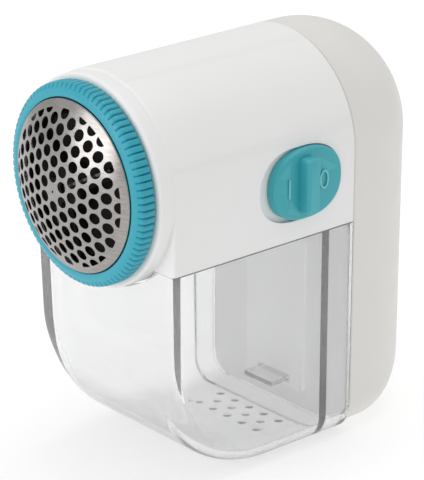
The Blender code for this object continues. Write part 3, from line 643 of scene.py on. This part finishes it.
def make_rear_housing(mat, white, boss):
    first = PARTING_Y + SLIT / 2
    rings = [rear_ring(first, 0.2)] + [rear_ring(y, 0.0) for y in rear_stations(first + 0.25, 0.0)]
    shell = finish("shell_rear", loft(rings), mat)
    edge_x = HALF_W - WALL - GAP - 0.2
    top = SEAM_Z - 0.5
    outline = arc((edge_x - 4.5, 7.3), 4.5, -90, 0, 10)
    outline += arc((edge_x - 2.5, top - 2.5), 2.5, 0, 90, 8)
    outline += [(-x, z) for x, z in reversed(outline)]
    panel = rounded_rect((-PANEL_HALF_W, PANEL_HALF_W), PANEL_Z, 0.8)
    raised = [prism(outline, "Y", BOSS_Y, first + 1.5), prism(panel, "Y", PANEL_Y, BOSS_Y + 0.6)]
    combine(shell, raised, "UNION")
    inner = [rear_ring(y, WALL + 0.2) for y in rear_stations(first + 2.2, WALL + 0.2)]
    opening = [barrel_ring(y, HALF_W - WALL - 0.2, SEAM_Z + 2.2, 0.6)
               for y in (first - 9, first + 5)]
    latch = box((-LATCH_HALF_W - 0.8, LATCH_HALF_W + 0.8), (PANEL_Y - 2, BOSS_Y + 1.1),
                (LATCH_Z[0] - 0.5, LATCH_Z[1] + 0.5))
    door = rounded_rect((-DOOR_HALF_W - GAP, DOOR_HALF_W + GAP),
                        (DOOR_Z[0] - GAP, DOOR_Z[1] + GAP), 2.3)
    combine(shell, [loft(inner), loft(opening), latch, prism(door, "Y", CELL_Y + 3, REAR_Y + 5)])
    posts = [rod(POST_R, first + 0.1, first + 5.5, side * SCREW_X, SCREW_Z) for side in (-1, 1)]
    combine(shell, posts, "UNION")
    pilots = [rod(PILOT_R, first - 3, first + 8, side * SCREW_X, SCREW_Z) for side in (-1, 1)]
    combine(shell, pilots)

    def on_boss(p):
        return p.y < first + 0.05 and abs(p.x) < edge_x + 0.1 and p.z < SEAM_Z - 0.3

    # painted light: the raised panel and the boss behind the clear container get the lighter,
    # glowing finishes; the boss glows a little less than the panel
    paint(shell, white, on_boss)
    paint(shell, boss, lambda p: on_boss(p) and p.y > PANEL_Y + 0.05)
    return shell


def make_battery_door(mat):
    start = REAR_Y - REAR_R
    rings = [rear_ring(y, 0.0) for y in rear_stations(start - 4, 0.0)]
    door = finish("door_panel", loft(rings), mat)
    inner = [rear_ring(y, WALL) for y in rear_stations(start - 8, WALL)]
    combine(door, [loft(inner)])
    outline = rounded_rect((-DOOR_HALF_W, DOOR_HALF_W), DOOR_Z, 2.0)
    combine(door, [prism(outline, "Y", CELL_Y + 6, REAR_Y + 5)], "INTERSECT")
    ribs = []
    for number in range(3):
        z = DOOR_Z[1] - 19.0 + 3.0 * number
        bar = rounded_rect((-6.0, 6.0), (z - 0.6, z + 0.6), 0.55, 4)
        top = rounded_rect((-5.8, 5.8), (z - 0.4, z + 0.4), 0.35, 4)
        ribs.append(loft([[(x, y, h) for x, h in o] for o, y in
                          ((bar, REAR_Y - 1.0), (bar, REAR_Y + 0.35), (top, REAR_Y + 0.6))]))
    combine(door, ribs, "UNION")
    return door


# ---------------------------------------------------------------- container

def floor_bumps():
    """Staggered rows of little domes on the container floor, and one by itself."""
    spots = []
    for y, count in BUMP_ROWS:
        first = -BUMP_PITCH * (count - 1) / 2
        spots += [(first + BUMP_PITCH * i, FRONT_Y + y) for i in range(count)]
    spots.append((LONE_BUMP[0], FRONT_Y + LONE_BUMP[1]))
    return spots


def dome(x, y, radius, height, floor):
    """A low dome whose root is sunk into the floor."""
    sphere = (radius ** 2 + height ** 2) / (2 * height)
    rings = []
    for i in range(6):
        r = max(radius * (1.12 - 0.22 * i), 0.02)
        z = floor + height - sphere + math.sqrt(max(sphere ** 2 - min(r, radius) ** 2, 0.0))
        if i == 0:
            z = floor - 0.4
        steps = (2 * math.pi * k / 20 for k in range(20))
        rings.append([(x + r * math.cos(a), y + r * math.sin(a), z) for a in steps])
    return loft(rings)


def make_container(mat):
    top = SEAM_Z - SLIT
    back = PARTING_Y - GAP / 2
    outer = spaced(edge_stations(FRONT_EDGE_R) + nose_stations(NOSE_REACH) + [back - FACE_Y - 0.2])
    rings = [outer_ring(d, top) for d in outer]
    tail = [(x * (HALF_W - 0.2) / HALF_W, back, max(z, 0.15)) for x, y, z in rings[-1]]
    tub = finish("tub", loft(rings + [tail]), mat)
    inner = spaced(nose_stations(NOSE_REACH - FRONT_WALL) + [BACK_WALL_Y - WALL - FACE_Y])
    skirt = [tub_ring(y, seam_half(y) - WALL, WALL, CORNER_R - WALL, top + 5)
             for y in (BACK_WALL_Y, PARTING_Y, back + 5)]
    combine(tub, [loft([cavity_ring(d, top + 5) for d in inner]), loft(skirt),
                  rod(COLLAR_R + 0.5, FRONT_Y - 4, FRONT_Y + 4.5, count=140)])
    tip = PANEL_Y + 1.6
    tongue = [(BACK_WALL_Y - 0.8, LATCH_Z[0]), (tip - 0.2, LATCH_Z[0]), (tip, LATCH_Z[0] + 0.5),
              (tip - 0.7, LATCH_Z[1]), (BACK_WALL_Y - 0.8, LATCH_Z[1])]
    domes = [dome(x, y, BUMP_R, BUMP_RISE, WALL) for x, y in floor_bumps()]
    combine(tub, [prism(tongue, "X", -LATCH_HALF_W, LATCH_HALF_W)] + domes, "UNION", 25.0)
    return tub


# ---------------------------------------------------------------- head

def dome_y(radius):
    """Y of the foil's outer surface at a radius."""
    center = FOIL_RIM_Y - FOIL_RISE + FOIL_SPHERE_R
    return center - math.sqrt(FOIL_SPHERE_R ** 2 - radius ** 2)


def hole_centres():
    centres = []
    column_pitch = HOLE_PITCH * math.sqrt(3) / 2
    reach = int(HOLE_FIELD_R / HOLE_PITCH) + 3
    for column in range(-reach, reach + 1):
        for row in range(-reach, reach + 1):
            x = column * column_pitch
            z = (row + 0.5 * (column % 2)) * HOLE_PITCH
            if 0.1 < math.hypot(x, z) < HOLE_FIELD_R + HOLE_R * 0.55:
                centres.append((x, z))
    return centres


def hole_loop(x, z, sides=20):
    """A round hole; near the edge of the field it is cut off by a concentric rim."""
    loop = []
    for i in range(sides):
        angle = 2 * math.pi * i / sides
        px, pz = x + HOLE_R * math.cos(angle), z + HOLE_R * math.sin(angle)
        reach = math.hypot(px, pz)
        if reach > HOLE_FIELD_R:
            px, pz = px * HOLE_FIELD_R / reach, pz * HOLE_FIELD_R / reach
        loop.append((px, pz))
    return loop


def foil_pattern():
    """The foil laid flat: its points, its faces outside the holes, its rim's point numbers."""
    points, loops = [], []
    for x, z in hole_centres():
        first = len(points)
        loop = hole_loop(x, z)
        points += loop
        loops.append(list(range(first, first + len(loop))))
    first = len(points)
    points += arc((0.0, 0.0), CENTRE_HOLE_R, 0, 330, 11)
    loops.append(list(range(first, first + 12)))
    holes = [[points[i] for i in loop] for loop in loops]
    guides = []
    for radius in (FIELD_RIM_R, FLAT_R):
        first = len(points)
        points += arc((0.0, 0.0), radius, 0, 360 - 360 / RIM_COUNT, RIM_COUNT - 1)
        guides.append(list(range(first, first + RIM_COUNT)))
    edges = [(loop[i], loop[(i + 1) % len(loop)])
             for loop in loops + guides for i in range(len(loop))]
    result = delaunay_2d_cdt([Vector(p) for p in points], edges, [], 1, 1e-6)
    flat, faces = result[0], result[2]
    middles = [(sum(p[0] for p in h) / len(h), sum(p[1] for p in h) / len(h)) for h in holes]
    kept = []
    for face in faces:
        cx = sum(flat[i].x for i in face) / len(face)
        cz = sum(flat[i].y for i in face) / len(face)
        near = min(range(len(middles)),
                   key=lambda k: (middles[k][0] - cx) ** 2 + (middles[k][1] - cz) ** 2)
        if not inside(holes[near], cx, cz):
            kept.append(face)
    return flat, kept, guides[1]


def foil_edge_profile():
    """(radius, y) points of the rolled edge, the wall behind it and the flange."""
    slope = math.asin(FLAT_R / FOIL_SPHERE_R)
    center = (FLAT_R - ROLL_R * math.sin(slope), dome_y(FLAT_R) + ROLL_R * math.cos(slope))
    profile = []
    for i in range(1, 9):
        angle = slope + (math.pi / 2 - slope) * i / 8
        profile.append((center[0] + ROLL_R * math.sin(angle),
                        center[1] - ROLL_R * math.cos(angle)))
    wall_r = profile[-1][0]
    profile += [(wall_r, SPIGOT_Y - 1.25), (wall_r + 0.25, FLANGE_Y), (wall_r + 1.4, FLANGE_Y)]
    return profile


def make_foil(mat, hole_wall_shade):
    """Thin perforated dome, a rolled rim, and a flange under the guard ring."""
    flat, faces, rim_points = foil_pattern()
    bm = bmesh.new()
    front = [bm.verts.new((p.x, dome_y(min(p.length, FLAT_R)), HEAD_Z + p.y)) for p in flat]
    for face in faces:
        bm.faces.new([front[i] for i in face])
    rings = [[front[i] for i in rim_points]]
    rings += [[bm.verts.new(p) for p in circle(r, y, count=RIM_COUNT)]
              for r, y in foil_edge_profile()]
    for low, high in zip(rings, rings[1:]):
        for i in range(RIM_COUNT):
            j = (i + 1) % RIM_COUNT
            bm.faces.new((low[i], low[j], high[j], high[i]))
    foil = finish("foil", bm, mat, 50.0)
    mod = foil.modifiers.new("sheet", "SOLIDIFY")
    mod.thickness = FOIL_T * MM
    mod.offset = -1.0
    mod.use_even_offset = True
    # painted shade: the hole walls get a darker steel than the foil face, which keeps them from
    # glinting
    foil.data.materials.append(hole_wall_shade)
    mod.material_offset_rim = 1
    bake(foil)
    shade(foil.data, 40.0)
    return foil


def inside(loop, x, z):
    """Whether a point lies inside a closed outline."""
    hit = False
    for (x0, z0), (x1, z1) in zip(loop, loop[1:] + loop[:1]):
        if (z0 > z) != (z1 > z) and x < (x1 - x0) * (z - z0) / (z1 - z0) + x0:
            hit = not hit
    return hit


def make_guard_ring(mat):
    """Screw ring: a smooth front cone and a finely ribbed side."""
    lip = FOIL_R + 0.05         # a hairline next to the foil
    groove = SPIGOT_R + 0.4
    per_rib = 10
    count = KNURLS * per_rib
    bm = bmesh.new()
    profile = [(lip, RING_LIP_Y + 0.5, 0.0), (lip + 0.04, RING_LIP_Y + 0.10, 0.0),
               (lip + 0.22, RING_LIP_Y, 0.0), (lip + 1.1, RING_LIP_Y + 0.05, 0.0),
               (RING_R - 1.25, RING_EDGE_Y - 0.24, 0.0), (RING_R - 1.15, RING_EDGE_Y - 0.20, 0.45),
               (RING_R - 0.80, RING_EDGE_Y - 0.05, 0.85), (RING_R - 0.32, RING_EDGE_Y + 0.22, 1.0),
               (RING_R - 0.08, RING_EDGE_Y + 0.55, 1.0), (RING_R, RING_EDGE_Y + 1.1, 1.0),
               (RING_R, COLLAR_Y - GAP - 0.55, 1.0), (RING_R - 0.15, COLLAR_Y - GAP - 0.2, 0.7),
               (RING_R - 0.5, COLLAR_Y - GAP, 0.0), (groove, COLLAR_Y - GAP, 0.0),
               (groove, FLANGE_Y - GAP, 0.0), (lip, FLANGE_Y - GAP, 0.0)]
    rings = []
    for radius, y, amount in profile:
        ring = []
        for i in range(count):
            phase = (i % per_rib) / per_rib
            crest = min(1.0, KNURL_FLANK * abs(math.sin(math.pi * phase)))
            r = radius - KNURL_DEPTH * amount * (1.0 - crest)
            angle = 2 * math.pi * i / count
            ring.append((r * math.cos(angle), y, HEAD_Z + r * math.sin(angle)))
        rings.append(ring)
    add_loft(bm, rings, closed=True)
    return finish("knurled_ring", bm, mat, 55.0)


# ---------------------------------------------------------------- switch

def make_button(mat, light):
    rings = []
    steps = ((BUTTON_X[0], 0.0), (BUTTON_X[1] - 0.7, 0.0))
    turns = [math.radians(a) for a in (15, 30, 45, 60, 75, 90)]
    steps += tuple((BUTTON_X[1] - 0.7 + 0.7 * math.sin(a), 0.7 - 0.7 * math.cos(a)) for a in turns)
    for x, inset in steps:
        rings.append([(x, y, z) for y, z in button_outline(-inset)])
    button = finish("switch_cap", loft(rings), mat)
    rib = []
    for x, inset, radius in ((BUTTON_X[1] - 0.8, -0.05, 0.8), (BUTTON_X[1] + 0.15, 0.0, 0.8),
                             (RIB_X - 0.8, 0.12, 0.75), (RIB_X - 0.4, 0.22, 0.7),
                             (RIB_X - 0.12, 0.42, 0.6), (RIB_X, 0.75, 0.4)):
        outline = rounded_rect((RIB_Y - 2.0 + inset, RIB_Y + 2.0 - inset),
                               (SWITCH_Z - 6.3 + inset, SWITCH_Z + 6.3 - inset), radius, 5)
        rib.append([(x, y, z) for y, z in outline])
    shank = box((19.6, BUTTON_X[0] + 0.8), (SWITCH_Y - 2.4, SWITCH_Y + 2.4),
                (SWITCH_Z - 2.4, SWITCH_Z + 2.4))
    mark_x = (BUTTON_X[1] - 0.3, BUTTON_X[1] + 0.3)
    bar = rounded_rect((RIB_Y - 5.35, RIB_Y - 4.85), (SWITCH_Z - 2.2, SWITCH_Z + 2.2), 0.2, 3)
    marks = [prism(bar, "X", *mark_x), loop_mark(RIB_Y + 5.2, mark_x)]
    combine(button, [loft(rib), shank] + marks, "UNION", 30.0)
    socket = box((18.0, 22.2), (SWITCH_Y - 1.3, SWITCH_Y + 1.3), (SWITCH_Z - 1.3, SWITCH_Z + 1.3))
    combine(button, [socket], sharp=30.0)
    paint(button, light, lambda p: p.x > BUTTON_X[1] + 0.25 and abs(p.y - RIB_Y) > 2.6)
    return button


def loop_mark(y, span, half=(1.35, 2.2), line=0.5):
    """A raised oval line: the off mark."""
    angles = [2 * math.pi * i / 40 for i in range(40)]
    rings = []
    for grow, x in ((0.0, span[0]), (0.0, span[1]), (-line, span[1]), (-line, span[0])):
        wide, high = half[0] + grow, half[1] + grow
        rings.append([(x, y + wide * math.cos(a), SWITCH_Z + high * math.sin(a)) for a in angles])
    return loft(rings, closed=True)


# ---------------------------------------------------------------- scene

CAD_FINISH = {
    "blade_carrier": "black", "blade_1": "blade", "blade_2": "blade", "blade_3": "blade",
    "drive_hub": "teal", "rotor_spring": "spring", "motor_mount": "black", "motor_can": "can",
    "motor_end_cap": "black", "motor_magnet_left": "ferrite", "motor_magnet_right": "ferrite",
    "motor_armature": "copper", "motor_shaft": "can", "motor_tab_left": "brass",
    "motor_tab_right": "brass", "switch_lever": "black", "slide_switch_can": "can",
    "cell_left": "cell", "cell_right": "cell", "battery_cradle": "inner",
    "contact_bridge": "spring", "contact_positive": "spring", "contact_negative": "spring",
    "bridge_spring": "spring", "negative_spring": "spring", "screw_left": "screw",
    "screw_right": "screw", "wire_battery_to_switch": "red", "wire_switch_to_motor": "yellow",
    "wire_battery_to_motor": "dark",
}


def dress_cad(frame, mats):
    """Procedural finishes and softened edges for the pieces kept from the frame."""
    for node, key in CAD_FINISH.items():
        obj = frame["nodes"][node]
        obj.data.materials.clear()
        obj.data.materials.append(mats[key])
        soften(obj, 0.12, 2, 35.0)


def make_floor():
    bm = bmesh.new()
    bmesh.ops.create_grid(bm, x_segments=8, y_segments=8, size=900.0)
    for vert in bm.verts:
        vert.co.z = -0.02
    mat, nodes, links, shader = new_material("floor")
    tone = noise(nodes, links, 3.0, 2.0)
    links.new(blend_colour(nodes, links, tone, (0.42, 0.42, 0.42), (0.43, 0.43, 0.43)),
              shader.inputs["Base Color"])
    shader.inputs["Emission Color"].default_value = (1.0, 1.0, 1.0, 1.0)
    shader.inputs["Emission Strength"].default_value = FLOOR_GLOW
    shader.inputs["Roughness"].default_value = 0.9
    shader.inputs["Specular IOR Level"].default_value = 0.1
    floor = finish("floor", bm, mat)
    return floor


def area_light(name, place, aim, size, power):
    data = bpy.data.lights.new(name, "AREA")
    data.shape = "RECTANGLE"
    data.size, data.size_y = size
    data.energy = power
    obj = bpy.data.objects.new(name, data)
    obj.location = place
    direction = Vector(aim) - Vector(place)
    obj.rotation_mode = "QUATERNION"
    obj.rotation_quaternion = direction.to_track_quat("-Z", "Y")
    bpy.context.scene.collection.objects.link(obj)
    return obj


def make_light():
    world = bpy.data.worlds.new("studio")
    bpy.context.scene.world = world
    world.use_nodes = True
    world.node_tree.nodes["Background"].inputs["Color"].default_value = (1.0, 1.0, 1.0, 1.0)
    world.node_tree.nodes["Background"].inputs["Strength"].default_value = 0.70
    area_light("top", (0.0, 0.10, 0.90), (0.0, 0.0, 0.05), (0.6, 0.6), 2.1)
    area_light("key", (-0.22, -0.80, 0.28), (0.0, 0.0, 0.04), (0.5, 0.5), 2.0)
    bpy.context.scene.view_settings.view_transform = "Standard"
    bpy.context.scene.view_settings.look = "None"


def make_camera():
    """Long lens from the front right, slightly above."""
    data = bpy.data.cameras.new("camera")
    data.lens = LENS_MM
    data.sensor_width = 36.0
    data.shift_x, data.shift_y = LENS_SHIFT
    data.clip_start = 0.01
    data.clip_end = 10.0
    obj = bpy.data.objects.new("camera", data)
    obj.location = CAMERA_PLACE
    azimuth, elevation = (math.radians(angle) for angle in CAMERA_TURN)
    back = Vector((math.sin(azimuth) * math.cos(elevation), -math.cos(azimuth) * math.cos(elevation),
                   math.sin(elevation)))
    obj.rotation_mode = "QUATERNION"
    obj.rotation_quaternion = (-back).to_track_quat("-Z", "Y")
    bpy.context.scene.collection.objects.link(obj)
    bpy.context.scene.camera = obj


def main():
    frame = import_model()
    mats = make_materials()
    dress_cad(frame, mats)
    pieces = [
        (make_front_housing(mats["white"], mats["black"]), "housing", "front_housing",
         "white_housing"),
        (make_rear_housing(mats["rear"], mats["panel_glow"], mats["boss"]), "housing", "rear_housing",
         "rear_housing"),
        (make_battery_door(mats["rear"]), "door", "battery_door", "rear_housing"),
        (make_container(mats["clear"]), "container", "dust_container", "clear_plastic"),
        (make_foil(mats["foil"], mats["hole_shade"]), "foil_guard", "foil_screen", "foil_steel"),
        (make_guard_ring(mats["ring"]), "ring", "guard_ring", "teal_plastic"),
        (make_button(mats["teal"], mats["mark"]), "switch", "switch_button", "teal_plastic"),
    ]
    for obj, body, node, slot in pieces:
        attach(obj, body)
        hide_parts(node)
    make_floor()
    make_light()
    make_camera()


main()
